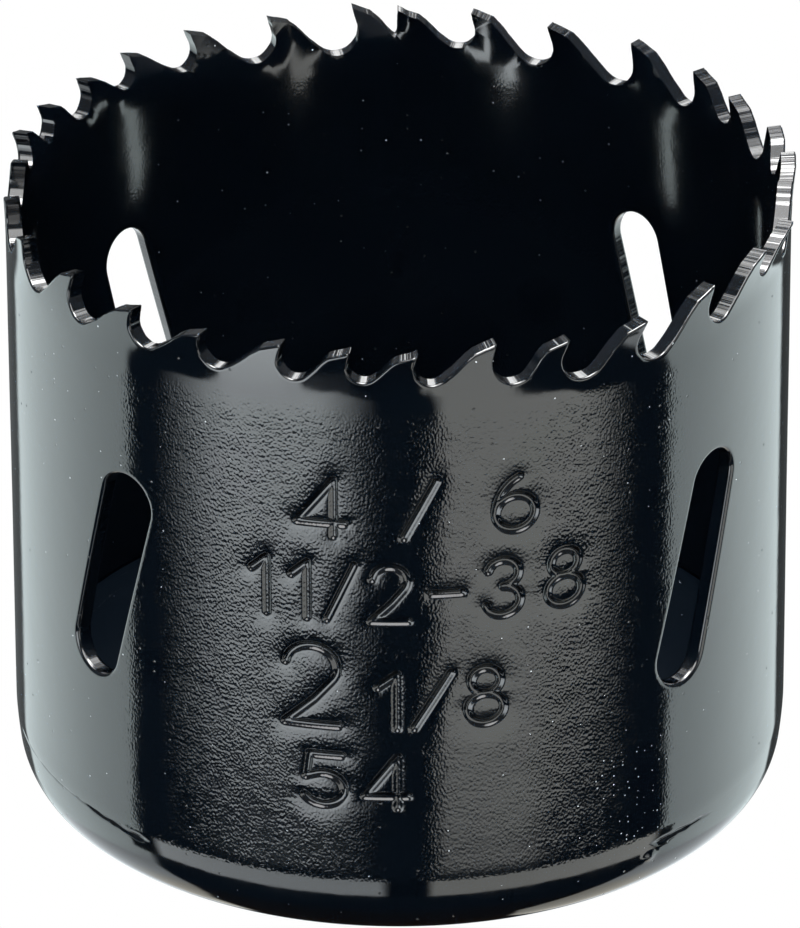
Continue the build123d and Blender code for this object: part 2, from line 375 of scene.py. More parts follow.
def sheet(outer):
    """Triangulated unrolled face of the strip: points, triangles, index of each outline point."""
    pts, tags = [], []

    def put(block):
        start = len(pts)
        pts.extend([tuple(q) for q in block])
        return list(range(start, len(pts)))

    i_bottom = put(np.stack([bottom_s, np.full(len(bottom_s), SEAT_Z)], 1))
    i_right = put([(S_RIGHT, z) for z in seam_z])
    i_top = put(path)
    i_left = put([(S_LEFT, z) for z in seam_z])
    polygon = i_bottom + i_right + i_top[::-1] + i_left[::-1]
    i_slots = [put(s) for s in slots]
    edges = [(a, b) for a, b in zip(polygon, polygon[1:] + polygon[:1])]
    for ring in i_slots:
        edges += list(zip(ring, ring[1:] + ring[:1]))

    extra = []
    # loops beside the tooth profile, then beside the slots
    for d in (0.08 * EDGE, 0.293 * EDGE, 0.6 * EDGE, EDGE, 1.7 * EDGE):
        if not outer and (d > EDGE or d in (0.08 * EDGE, 0.6 * EDGE)):
            break
        keep_every = 1 if d < 0.2 else 2
        loop = (path + inward * d)[::keep_every]
        keep = (nearest(top_tree, loop) > 0.965 * d) & (loop[:, 0] > S_LEFT + 0.02) & (loop[:, 0] < S_RIGHT - 0.02)
        extra.append(loop[keep])
    for a in SLOT_AZ:
        for d in (0.1 * SLOT_EDGE, 0.29 * SLOT_EDGE, 0.6 * SLOT_EDGE, SLOT_EDGE, 1.4 * SLOT_EDGE, 0.6):
            if not outer and d in (0.1 * SLOT_EDGE, 1.4 * SLOT_EDGE):
                continue
            extra.append(slot_outline(a, d, 0.21 if d < 0.4 else 0.35))
    # the low rows, where the wall runs into the cap
    for z in seam_low:
        if not outer and z > 4.7:
            break
        shift = 0.5 * (bottom_s[1] - bottom_s[0]) * (seam_low.index(z) % 2 == 0)
        row = bottom_s[1:-1] + shift
        row = row[row < S_RIGHT - 0.2]
        extra.append(np.stack([row, np.full(len(row), z)], 1))
    fine = np.empty((0, 2))
    if outer:
        blocks = []
        for d in (0.0, 0.13, 0.22, 0.31, 0.40, 0.52, 0.72):
            for s in strokes:
                line = even(s, 0.13 if d < 0.45 else 0.2)
                t = np.gradient(line, axis=0)
                t /= np.linalg.norm(t, axis=1)[:, None]
                n = np.stack([-t[:, 1], t[:, 0]], 1)
                if d == 0.0:
                    blocks.append((line, d))
                    continue
                ends = []
                closed = np.linalg.norm(line[0] - line[-1]) < 1e-6
                if not closed:
                    for q, tt, nn in ((line[-1], t[-1], n[-1]), (line[0], -t[0], -n[0])):
                        k = max(int(math.pi * d / 0.13), 3)
                        for a in np.linspace(0, math.pi, k + 2)[1:-1]:
                            ends.append(q + d * (math.cos(a) * nn + math.sin(a) * tt))
                blocks.append((np.vstack([line + n * d, line - n * d] + ([np.array(ends)] if ends else [])), d))
        chosen = []
        for block, d in blocks:
            if d:
                block = block[nearest(stroke_tree, block) > 0.96 * d]
            chosen.append(block)
        fine = np.vstack(chosen)
        # thin out points that crowd each other where strokes cross
        seen, keep = {}, []
        for j, q in enumerate(fine):
            cell = (round(q[0] / 0.07), round(q[1] / 0.07))
            near = False
            for da in (-1, 0, 1):
                for db in (-1, 0, 1):
                    k = seen.get((cell[0] + da, cell[1] + db))
                    if k is not None and np.hypot(*(fine[k] - q)) < 0.06:
                        near = True
            if not near:
                seen[cell] = j
                keep.append(j)
        fine = fine[keep]
    # the open field
    ds, dz = (0.55, 0.5) if outer else (0.95, 1.0)
    rows = np.arange(6.5, HEIGHT - 0.3, dz)
    field = []
    for k, z in enumerate(rows):
        row = np.arange(S_LEFT + ds * (0.5 + 0.5 * (k % 2)), S_RIGHT - 0.3 * ds, ds)
        field.append(np.stack([row, np.full(len(row), z)], 1))
    field = np.vstack(field)
    line_z = np.interp(field[:, 0], np.maximum.accumulate(path[:, 0]), path[:, 1])
    gap = nearest(top_tree, field)
    ok = gap > (0.5 if outer else 0.5)
    # inside test against the profile polygon
    high = field[:, 1] > HEIGHT - 4.2
    inside = np.ones(len(field), bool)
    idx = np.where(high & ok)[0]
    ax, ay = path[:-1, 0], path[:-1, 1]
    bx, by = path[1:, 0], path[1:, 1]
    for j in idx:
        x, y = field[j]
        cross = (ax > x) != (bx > x)
        yy = ay[cross] + (x - ax[cross]) / (bx[cross] - ax[cross]) * (by[cross] - ay[cross])
        inside[j] = (np.count_nonzero(yy > y) % 2) == 1
    ok &= inside
    for a in SLOT_AZ:
        ok &= slot_distance(field, a) > 0.75
    if outer:
        near = (np.abs(field[:, 0] - FRONT_S) < 14) & ok
        dist = np.full(len(field), 9.0)
        dist[near] = nearest(stroke_tree, field[near])
        ok &= dist > 0.95
    extra.append(field[ok])
    if outer:
        extra.append(fine)
    put(np.vstack(extra))
    verts, _, faces, orig, _, _ = delaunay_2d_cdt(
        [Vector(q) for q in pts], edges, [polygon], 1, 1e-6)
    where = {}
    for k, o in enumerate(orig):
        for q in o:
            where[q] = k
    p = np.array([tuple(v) for v in verts])
    f = np.array([t for t in faces if len(t) == 3])
    c = p[f].mean(1)
    keep = np.ones(len(f), bool)
    for a in SLOT_AZ:
        keep &= slot_distance(c, a) > 0.0
    f = f[keep]
    a, b, cc = p[f[:, 0]], p[f[:, 1]], p[f[:, 2]]
    flip = ((b[:, 0] - a[:, 0]) * (cc[:, 1] - a[:, 1]) - (b[:, 1] - a[:, 1]) * (cc[:, 0] - a[:, 0])) < 0
    f[flip] = f[flip][:, ::-1]
    used = np.unique(f)
    remap = np.full(len(p), -1)
    remap[used] = np.arange(len(used))
    p, f = p[used], remap[f]
    index = lambda ids: [int(remap[where[q]]) for q in ids]
    return p, f, {"bottom": index(i_bottom), "top": index(i_top), "slots": [index(r) for r in i_slots]}


def place(s, z, r):
    a = s / WALL_R
    return np.stack([r * np.cos(a), r * np.sin(a), z], 1) * MM


def build_shell():
    p_out, f_out, k_out = sheet(True)
    p_in, f_in, k_in = sheet(False)

    def drops(p):
        top = nearest(top_tree, p)
        d = edge_drop(top, EDGE)
        for a in SLOT_AZ:
            d = np.maximum(d, edge_drop(slot_distance(p, a), SLOT_EDGE))
        return d

    d_out, d_in = drops(p_out), drops(p_in)
    for key, ids in (("o", k_out["top"]), ("i", k_in["top"])):
        (d_out if key == "o" else d_in)[ids] = EDGE
    for ko, ki in zip(k_out["slots"], k_in["slots"]):
        d_out[ko] = SLOT_EDGE
        d_in[ki] = SLOT_EDGE
    groove = np.zeros(len(p_out))
    near = np.abs(p_out[:, 0] - FRONT_S) < 14
    dist = nearest(stroke_tree, p_out[near])
    cut = 0.5 * (1.0 + np.cos(np.pi * np.clip((dist - GROOVE_FLOOR) / (GROOVE_EDGE - GROOVE_FLOOR), 0, 1)))
    groove[near] = -GROOVE_DEPTH * cut - DISH_DEPTH * np.exp(-((dist / DISH_WIDTH) ** 2))
    # the ground butt weld of the strip, a shallow band at the back
    az_gap = np.abs((p_out[:, 0] - S_LEFT + 0.5 * TURN) % TURN - 0.5 * TURN)
    weld = -0.03 * (1.0 - smooth(az_gap, 0.5, 1.3))
    az_gap_in = np.abs((p_in[:, 0] - S_LEFT + 0.5 * TURN) % TURN - 0.5 * TURN)
    weld_in = 0.035 * (1.0 - smooth(az_gap_in, 0.4, 1.1))
    calm = smooth(p_out[:, 1], SEAT_Z, 8.0)
    r_out = wall_radius(p_out[:, 1]) + tooth_set(p_out[:, 0], p_out[:, 1]) - d_out + groove
    r_out += (0.010 * ripple(p_out[:, 0], p_out[:, 1]) + weld) * calm
    r_in = WALL_RI + tooth_set(p_in[:, 0], p_in[:, 1]) + d_in + weld_in * smooth(p_in[:, 1], SEAT_Z, 8.0)
    r_in += 0.012 * ripple(p_in[:, 0], p_in[:, 1] + 31.0)
    verts = [place(p_out[:, 0], p_out[:, 1], r_out), place(p_in[:, 0], p_in[:, 1], r_in)]
    flat = [p_out, p_in]
    faces = [f_out.tolist(), (f_in[:, ::-1] + len(p_out)).tolist()]
    kind = [0] * len(f_out) + [2] * len(f_in)
    total = len(p_out) + len(p_in)

    def strip(ids_out, ids_in, closed, forward, rows, slot_kind):
        nonlocal total
        ids_out, ids_in = np.array(ids_out), np.array(ids_in)
        n = len(ids_out)
        grid = [ids_out]
        for t in rows:
            r = r_out[ids_out] * (1 - t) + r_in[ids_in] * t
            q = p_out[ids_out]
            verts.append(place(q[:, 0], q[:, 1], r))
            flat.append(q)
            grid.append(np.arange(total, total + n))
            total += n
        grid.append(ids_in + len(p_out))
        quads = []
        for a, b in zip(grid, grid[1:]):
            for j in range(n if closed else n - 1):
                k = (j + 1) % n
                quad = [int(a[j]), int(a[k]), int(b[k]), int(b[j])]
                quads.append(quad if forward else quad[::-1])
        faces.append(quads)
        kind.extend([slot_kind] * len(quads))

    strip(k_out["top"], k_in["top"], False, True, (0.04, 0.12, 0.5, 0.88, 0.96), 1)
    strip(k_out["bottom"], k_in["bottom"], False, False, (), 2)
    for ko, ki in zip(k_out["slots"], k_in["slots"]):
        strip(ko, ki, True, True, (0.05, 0.15, 0.5, 0.85, 0.95), 1)

    v = np.vstack(verts)
    uv = np.vstack(flat)
    mesh = bpy.data.meshes.new("toothed_shell_detail")
    all_faces = [f for block in faces for f in block]
    mesh.from_pydata(v.tolist(), [], all_faces)
    mesh.polygons.foreach_set("material_index", np.array(kind, np.int32))
    mesh.polygons.foreach_set("use_smooth", np.ones(len(all_faces), bool))
    layer = mesh.uv_layers.new(name="unrolled")
    loop_v = np.empty(len(mesh.loops), np.int32)
    mesh.loops.foreach_get("vertex_index", loop_v)
    layer.data.foreach_set("uv", uv[loop_v].astype(np.float32).ravel())
    grain = np.ones(len(v), np.float32)
    grain[: len(p_out)][near] = 0.35 + 0.65 * smooth(dist, 0.30, 0.55)
    beside = p_out[:, 0] - FRONT_S
    grain[: len(p_out)] *= 1.0 - 0.35 * smooth(beside, 1.5, 4.5) * (1 - smooth(beside, 8.0, 11.5))
    # the paint lies smoother on the flanks
    facing = np.abs((p_out[:, 0] - FRONT_S + 0.5 * TURN) % TURN - 0.5 * TURN) / WALL_R
    grain[: len(p_out)] *= (1.0 - 0.7 * smooth(facing, 0.76, 0.90)) * (1.0 - 0.5 * smooth(facing, 0.60, 0.70))
    mesh.attributes.new("grain", "FLOAT", "POINT").data.foreach_set("value", grain)
    obj = bpy.data.objects.new("saw_shell", mesh)
    bpy.context.scene.collection.objects.link(obj)
    import bmesh
    bm = bmesh.new()
    bm.from_mesh(mesh)
    bmesh.ops.remove_doubles(bm, verts=bm.verts, dist=1e-7)
    bm.to_mesh(mesh)
    bm.free()
    mesh.set_sharp_from_angle(angle=math.radians(52.0))
    mesh.update()
    return obj


# ---------------------------------------------------------------- cap
def weld_relief(a, z):
    """The weld between strip and cap stays visible as a fine uneven crease, with one bead of paint."""
    turn = (a + 1.5 * math.pi) % (2 * math.pi) - math.pi
    side = abs(turn)
    if turn < 0:
        level = 4.2 + 0.34 * float(smooth(side, 0.73, 0.92))
    else:
        level = 3.9
    level += 0.035 * math.sin(31.0 * turn + 1.0) + 0.03 * math.sin(67.0 * turn) + 0.02 * math.sin(143.0 * turn + 2.0)
    strong = float(smooth(side, 0.69, 0.735))
    if turn < 0:
        strong *= 1.0 - 0.75 * float(smooth(side, 0.84, 1.0))
    else:
        strong *= 1.0 - float(smooth(side, 0.80, 0.93))
    strong = max(strong * (0.85 + 0.3 * math.sin(23.0 * turn + 0.6) * math.sin(51.0 * turn)), 0.12 * float(smooth(side, 1.5, 1.7)))
    crease = 0.15 * strong * math.exp(-(((z - level) / (0.07 + 0.12 * strong)) ** 2))
    bead = 0.15 * math.exp(-(((turn - 0.69) * WALL_R / 0.40) ** 2) - (((z - 2.9) / 0.30) ** 2))
    return bead - crease


def build_cap():
    n = 720
    theta = 2 * math.pi * np.arange(n) / n
    verts, faces, kind, uvs = [], [], [], []

    def ring(r, z, count=n, cx=0.0, cy=0.0):
        start = len(verts)
        for k in range(count):
            a = 2 * math.pi * k / count
            verts.append((cx + r * math.cos(a), cy + r * math.sin(a), z))
            uvs.append(((a if a < 0.5 * math.pi else a - 2 * math.pi) * WALL_R, z))
        return list(range(start, start + count))

    def band(a, b, k=0):
        """Quads from ring a to ring b; outward when b lies above a on an outer wall."""
        m = len(a)
        for j in range(m):
            faces.append([a[j], a[(j + 1) % m], b[(j + 1) % m], b[j]])
            kind.append(k)

    # outer side, from the underside up to the weld
    keep = PROFILE_Z <= SEAT_Z + 1e-6
    z_line = np.concatenate([[SEAT_Z, SEAT_Z - 0.06], np.arange(4.48, 3.64, -0.035),
                             PROFILE_Z[keep & (PROFILE_Z < 3.63)]])
    r_line = np.interp(z_line, PROFILE_Z[::-1], PROFILE_R[::-1])
    r_line[z_line < 1e-6] = PROFILE_R[-1]
    z_line, r_line = z_line[::-1], r_line[::-1]
    rings = [ring(r, max(z, 0.0)) for z, r in zip(z_line, r_line)]
    for ids, z in zip(rings, z_line):
        if not 2.0 < z < SEAT_Z - 0.03:
            continue
        for i in ids:
            x, y, h = verts[i]
            a = math.atan2(y, x)
            k = 1.0 + weld_relief(a, z) / math.hypot(x, y)
            verts[i] = (x * k, y * k, h)
    for a, b in zip(rings, rings[1:]):
        band(a, b)
    low_ring, seat_out = rings[0], rings[-1]
    seat_in = ring(SPIGOT_R, SEAT_Z)
    band(seat_out, seat_in, 1)
    collar = [ring(SPIGOT_R, CAP_TOP - 0.3), ring(SPIGOT_R - 0.09, CAP_TOP - 0.09), ring(SPIGOT_R - 0.3, CAP_TOP)]
    band(seat_in, collar[0], 1)
    band(collar[0], collar[1], 1)
    band(collar[1], collar[2], 1)
    # drive-pin holes
    pins_low, pins_high = [], []
    for k in range(4):
        a = k * math.pi / 2
        cx, cy = PIN_PCD / 2 * math.cos(a), PIN_PCD / 2 * math.sin(a)
        low = [ring(PIN_R + 0.28, 0.0, 64, cx, cy), ring(PIN_R + 0.08, 0.09, 64, cx, cy), ring(PIN_R, 0.28, 64, cx, cy),
               ring(PIN_R, 0.5, 64, cx, cy), ring(PIN_R, CAP_TOP - 0.3, 64, cx, cy),
               ring(PIN_R, CAP_TOP - 0.12, 64, cx, cy), ring(PIN_R + 0.035, CAP_TOP - 0.035, 64, cx, cy), ring(PIN_R + 0.12, CAP_TOP, 64, cx, cy)]
        for p, q in zip(low, low[1:]):
            band(q, p, 1)
        pins_low.append(low[0])
        pins_high.append(low[-1])
    # arbor thread with a countersink at both ends
    m = 160
    zs = np.unique(np.concatenate([np.linspace(0, CAP_TOP, 81)]))
    thread = []
    for z in zs:
        start = len(verts)
        for k in range(m):
            a = 2 * math.pi * k / m
            u = ((z - THREAD_PITCH * a / (2 * math.pi)) / THREAD_PITCH) % 1.0
            away = abs(u - 0.5) * THREAD_PITCH
            depth = (THREAD_MAJOR - THREAD_R)
            r = THREAD_R + min(max((away - 0.125 * THREAD_PITCH) / (0.3125 * THREAD_PITCH), 0.0), 1.0) * depth
            r = max(r, THREAD_R + THREAD_LEAD_IN - z, THREAD_R + THREAD_LEAD_IN - (CAP_TOP - z))
            verts.append((r * math.cos(a), r * math.sin(a), z))
            uvs.append((a * WALL_R, z))
        thread.append(list(range(start, start + m)))
    for a, b in zip(thread, thread[1:]):
        band(b, a, 1)

    def plate(z, outer_ring, holes, up, k):
        ids = list(outer_ring)
        for h in holes:
            ids += h
        xy = [(verts[i][0], verts[i][1]) for i in ids]
        n_fixed = len(ids)
        r_max = np.hypot(*xy[0])
        for r in np.arange(9.4, r_max - 0.6, 1.15):
            c = max(int(2 * math.pi * r / 1.3), 12)
            for j in range(c):
                a = 2 * math.pi * (j + 0.37 * r) / c
                q = (r * math.cos(a), r * math.sin(a))
                if all(math.hypot(q[0] - PIN_PCD / 2 * math.cos(b), q[1] - PIN_PCD / 2 * math.sin(b)) > PIN_R + 0.75
                       for b in (0, math.pi / 2, math.pi, 3 * math.pi / 2)):
                    xy.append(q)
        edges, at = [], 0
        for group in [outer_ring] + holes:
            c = len(group)
            edges += [(at + j, at + (j + 1) % c) for j in range(c)]
            at += c
        vs, _, fs, orig, _, _ = delaunay_2d_cdt([Vector(q) for q in xy], edges, [list(range(len(outer_ring)))], 1, 1e-7)
        to = {}
        for j, o in enumerate(orig):
            fixed_ids = [q for q in o if q < n_fixed]
            if fixed_ids:
                to[j] = ids[fixed_ids[0]]
            else:
                to[j] = len(verts)
                verts.append((vs[j][0], vs[j][1], z))
                uvs.append((vs[j][0], vs[j][1]))
        for f in fs:
            c = np.mean([tuple(vs[j]) for j in f], axis=0)
            if np.hypot(*c) < THREAD_R + THREAD_LEAD_IN - 1e-3 and np.hypot(*c) < 7.94:
                continue
            if any(math.hypot(c[0] - PIN_PCD / 2 * math.cos(b), c[1] - PIN_PCD / 2 * math.sin(b)) < PIN_R + (0.1 if up else 0.26)
                   for b in (0, math.pi / 2, math.pi, 3 * math.pi / 2)):
                continue
            tri = [to[j] for j in f]
            p0, p1, p2 = (verts[t] for t in tri)
            area = (p1[0] - p0[0]) * (p2[1] - p0[1]) - (p1[1] - p0[1]) * (p2[0] - p0[0])
            if (area > 0) != up:
                tri = tri[::-1]
            faces.append(tri)
            kind.append(k)

    plate(0.0, low_ring, pins_low + [thread[0]], False, 2)
    plate(CAP_TOP, collar[2], pins_high + [thread[-1]], True, 1)
    mesh = bpy.data.meshes.new("end_cap_detail")
    mesh.from_pydata([(x * MM, y * MM, z * MM) for x, y, z in verts], [], faces)
    mesh.polygons.foreach_set("material_index", np.array(kind, np.int32))
    mesh.polygons.foreach_set("use_smooth", np.ones(len(faces), bool))
    layer = mesh.uv_layers.new(name="unrolled")
    loop_v = np.empty(len(mesh.loops), np.int32)
    mesh.loops.foreach_get("vertex_index", loop_v)
    layer.data.foreach_set("uv", np.array(uvs, np.float32)[loop_v].ravel())
    mesh.attributes.new("grain", "FLOAT", "POINT").data.foreach_set("value", np.ones(len(verts), np.float32))
    mesh.validate()
    mesh.set_sharp_from_angle(angle=math.radians(40.0))
    mesh.update()
    obj = bpy.data.objects.new("saw_cap", mesh)
    bpy.context.scene.collection.objects.link(obj)
    return obj


# ---------------------------------------------------------------- materials
class Nodes:
    """Short names for building a node tree."""

    def __init__(self, material):
        material.use_nodes = True
        self.tree = material.node_tree
        self.tree.nodes.clear()

    def add(self, kind, **values):
        node = self.tree.nodes.new(kind)
        for key, value in values.items():
            setattr(node, key, value)
        return node

    def link(self, a, b):
        self.tree.links.new(a, b)

    def math(self, op, a, b=None, c=None, clamp=False):
        node = self.add("ShaderNodeMath", operation=op, use_clamp=clamp)
        for k, value in enumerate((a, b, c)):
            if value is None:
                continue
            if isinstance(value, (int, float)):
                node.inputs[k].default_value = value
            else:
                self.link(value, node.inputs[k])
        return node.outputs[0]

    def ramp(self, x, lo, hi, out_lo=0.0, out_hi=1.0):
        node = self.add("ShaderNodeMapRange", interpolation_type="SMOOTHSTEP")
        self.link(x, node.inputs["Value"])
        node.inputs["From Min"].default_value = lo
        node.inputs["From Max"].default_value = hi
        node.inputs["To Min"].default_value = out_lo
        node.inputs["To Max"].default_value = out_hi
        return node.outputs["Result"]

    def stretch(self, coords, scale, turn=0.0, move=(0, 0, 0)):
        node = self.add("ShaderNodeMapping")
        self.link(coords, node.inputs["Vector"])
        node.inputs["Scale"].default_value = scale
        node.inputs["Rotation"].default_value = (0, 0, turn)
        node.inputs["Location"].default_value = move
        return node.outputs["Vector"]

    def noise(self, coords, scale=1.0, detail=2.0, rough=0.5, distort=0.0):
        node = self.add("ShaderNodeTexNoise")
        self.link(coords, node.inputs["Vector"])
        node.inputs["Scale"].default_value = scale
        node.inputs["Detail"].default_value = detail
        node.inputs["Roughness"].default_value = rough
        node.inputs["Distortion"].default_value = distort
        return node.outputs["Fac"]

    def mix(self, fac, a, b):
        node = self.add("ShaderNodeMix", data_type="RGBA")
        for socket, value in ((node.inputs["Factor"], fac), (node.inputs["A"], a), (node.inputs["B"], b)):
            if isinstance(value, (int, float)):
                socket.default_value = value
            elif isinstance(value, tuple):
                socket.default_value = value
            else:
                self.link(value, socket)
        return node.outputs["Result"]

    def mixf(self, fac, a, b):
        node = self.add("ShaderNodeMix", data_type="FLOAT")
        for socket, value in ((node.inputs[0], fac), (node.inputs[2], a), (node.inputs[3], b)):
            if isinstance(value, (int, float)):
                socket.default_value = value
            else:
                self.link(value, socket)
        return node.outputs[0]


def paint(name, texture=1.0, striae=0.0, rough=0.045, gloss=0.5):
    """Thin glossy blue-black paint over blasted steel."""
    material = bpy.data.materials.new(name)
    n = Nodes(material)
    uv = n.add("ShaderNodeUVMap", uv_map="unrolled").outputs["UV"]
    sep = n.add("ShaderNodeSeparateXYZ")
    n.link(uv, sep.inputs[0])
    z = sep.outputs["Y"]
    out = n.add("ShaderNodeOutputMaterial")
    bsdf = n.add("ShaderNodeBsdfPrincipled")
    n.link(bsdf.outputs[0], out.inputs["Surface"])
    bsdf.inputs["IOR"].default_value = 1.5
    bsdf.inputs["Specular IOR Level"].default_value = gloss
    # colour: blue-black, a little greyer where the paint is thin
    cloud = n.noise(n.stretch(uv, (0.12, 0.12, 1)), 1.0, 3.0)
    tone = n.mix(n.ramp(cloud, 0.35, 0.65), (0.0007, 0.0014, 0.0025, 1), (0.0009, 0.0017, 0.0029, 1))
    # dust caught in the paint
    cells = n.add("ShaderNodeTexVoronoi", voronoi_dimensions="2D", feature="F1", distance="EUCLIDEAN")
    n.link(n.stretch(uv, (0.55, 0.55, 1)), cells.inputs["Vector"])
    cells.inputs["Scale"].default_value = 1.0
    pick = n.add("ShaderNodeSeparateColor")
    n.link(cells.outputs["Color"], pick.inputs[0])
    chosen = n.math("GREATER_THAN", pick.outputs[0], 0.85)
    size = n.math("MULTIPLY_ADD", pick.outputs[1], 0.022, 0.012)
    speck = n.math("MULTIPLY", n.math("LESS_THAN", cells.outputs["Distance"], size), chosen)
    dots = n.add("ShaderNodeTexVoronoi", voronoi_dimensions="2D", feature="F1", distance="EUCLIDEAN")
    n.link(n.stretch(uv, (1.5, 1.5, 1), move=(4.7, 1.3, 0)), dots.inputs["Vector"])
    dots.inputs["Scale"].default_value = 1.0
    pick3 = n.add("ShaderNodeSeparateColor")
    n.link(dots.outputs["Color"], pick3.inputs[0])
    patch = n.math("MULTIPLY", n.ramp(sep.outputs["X"], FRONT_S + 12.5, FRONT_S + 14.5), n.ramp(sep.outputs["X"], FRONT_S + 21.0, FRONT_S + 18.5))
    patch = n.math("MULTIPLY", patch, n.math("MULTIPLY", n.ramp(z, 15.0, 10.0), n.ramp(z, 4.4, 5.2)))
    few = n.math("GREATER_THAN", n.math("MULTIPLY", pick3.outputs[0], patch), 0.45)
    wide = n.math("MULTIPLY_ADD", pick3.outputs[1], 0.045, 0.035)
    dot = n.math("MULTIPLY", n.math("LESS_THAN", dots.outputs["Distance"], wide), few)
    tone = n.mix(speck, tone, (0.30, 0.32, 0.34, 1))
    tone = n.mix(dot, tone, (0.40, 0.43, 0.46, 1))
    n.link(tone, bsdf.inputs["Base Color"])
    # height field
    warp = n.noise(n.stretch(uv, (0.8, 0.8, 1), move=(3, 5, 0)), 1.0, 1.0)
    peel = n.noise(n.stretch(uv, (6.6, 4.4, 1), turn=0.12), 1.0, 0.0, 0.5)
    pocks = n.noise(n.stretch(uv, (3.7, 3.7, 1), turn=-0.2, move=(9, 2, 0)), 1.0, 0.0, 0.5)
    fine = n.noise(n.stretch(uv, (6.5, 6.5, 1), turn=0.3, move=(2, 6, 0)), 1.0, 0.0)
    wave = n.noise(n.stretch(uv, (0.35, 0.35, 1), move=(1, 8, 0)), 1.0, 2.0)
    body = n.math("MULTIPLY_ADD", peel, 0.18, n.math("MULTIPLY", n.ramp(pocks, 0.56, 0.70), -0.045))
    body = n.math("MULTIPLY_ADD", n.ramp(fine, 0.56, 0.74), -0.012, body)
    # smooth band under the teeth and where the wall runs into the cap
    edge = n.noise(n.stretch(uv, (0.35, 0.1, 1), move=(4, 4, 0)), 1.0, 2.0)
    z_soft = n.math("MULTIPLY_ADD", edge, 3.0, n.math("SUBTRACT", z, 1.5))
    mask = n.math("MULTIPLY", n.ramp(z_soft, 40.7, 38.7), n.ramp(z, 4.35, 4.95))
    mask = n.math("MULTIPLY", mask, n.ramp(z, 6.0, 24.0, 0.66, 1.0))
    patchy = n.math("MULTIPLY_ADD", n.ramp(warp, 0.3, 0.7), 0.55, 0.62)
    calm = n.add("ShaderNodeAttribute", attribute_name="grain")
    amount = n.math("MULTIPLY", n.math("MULTIPLY", mask, patchy), n.math("MULTIPLY", calm.outputs["Fac"], texture))
    height = n.math("MULTIPLY", body, amount)
    height = n.math("MULTIPLY_ADD", wave, 0.13, height)
    if striae:
        line = n.noise(n.stretch(uv, (3.5, 1.2, 1)), 1.0, 2.0, 0.6)
        height = n.math("MULTIPLY_ADD", line, striae, height)
    # pits
    pits = n.add("ShaderNodeTexVoronoi", voronoi_dimensions="2D", feature="F1", distance="EUCLIDEAN")
    n.link(n.stretch(uv, (0.8, 0.9, 1), move=(2.3, 6.1, 0)), pits.inputs["Vector"])
    pits.inputs["Scale"].default_value = 1.0
    pick2 = n.add("ShaderNodeSeparateColor")
    n.link(pits.outputs["Color"], pick2.inputs[0])
    chosen2 = n.math("GREATER_THAN", pick2.outputs[0], 0.94)
    pit = n.math("MULTIPLY", n.ramp(pits.outputs["Distance"], 0.085, 0.015), chosen2)
    height = n.math("SUBTRACT", height, n.math("MULTIPLY", pit, 0.6))
    bump = n.add("ShaderNodeBump")
    bump.inputs["Strength"].default_value = 1.0
    bump.inputs["Distance"].default_value = 6.5e-5
    n.link(height, bump.inputs["Height"])
    n.link(bump.outputs[0], bsdf.inputs["Normal"])
    grime = n.noise(n.stretch(uv, (0.9, 0.5, 1), move=(7, 1, 0)), 1.0, 3.0)
    n.link(n.ramp(grime, 0.3, 0.75, rough, rough + 0.03), bsdf.inputs["Roughness"])
    return material


shell = build_shell()
cap = build_cap()
wall_paint = paint("paint_wall")
cut_paint = paint("paint_cut_faces", texture=0.0, striae=0.6, rough=0.09)
inner_paint = paint("paint_inside", texture=0.18, rough=0.08)
floor_paint = paint("paint_cap_inside", texture=0.3, rough=0.5, gloss=0.01)
under_paint = paint("paint_underside", texture=0.7, rough=0.12)
for m in (wall_paint, cut_paint, inner_paint):
    shell.data.materials.append(m)
for m in (wall_paint, floor_paint, under_paint):
    cap.data.materials.append(m)
for piece, node in ((shell, "toothed_shell"), (cap, "end_cap")):
    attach(piece, "root")
    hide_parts(node)

# ---------------------------------------------------------------- studio
scene = bpy.context.scene
scene.view_settings.view_transform = "Standard"
scene.view_settings.look = "None"
scene.view_settings.exposure = 0.0
scene.view_settings.gamma = 1.0
world = bpy.data.worlds.new("studio_world")
scene.world = world
world.use_nodes = True
world.node_tree.nodes["Background"].inputs["Color"].default_value = (1, 1, 1, 1)
world.node_tree.nodes["Background"].inputs["Strength"].default_value = 1.0
world.cycles_visibility.glossy = False
world.cycles_visibility.diffuse = False
world.cycles.sampling_method = "NONE"


def emitter(name, strength_from=None, color=(1, 1, 1, 1), strength=1.0):
    material = bpy.data.materials.new(name)
    n = Nodes(material)
    out = n.add("ShaderNodeOutputMaterial")
    em = n.add("ShaderNodeEmission")
    em.inputs["Color"].default_value = color
    em.inputs["Strength"].default_value = strength
    if strength_from:
        attr = n.add("ShaderNodeAttribute", attribute_name=strength_from)
        n.link(attr.outputs["Color"], em.inputs["Color"])
    n.link(em.outputs[0], out.inputs["Surface"])
    return material


bpy.ops.mesh.primitive_grid_add(x_subdivisions=4, y_subdivisions=4, size=8.0, location=(0, 0, -0.00005))
floor = bpy.context.object
floor.name = "studio_floor"
floor_white = emitter("studio_floor_white")
floor_white.cycles.emission_sampling = "NONE"
floor.data.materials.append(floor_white)
floor.visible_glossy = False
floor.visible_diffuse = False
floor.visible_shadow = False


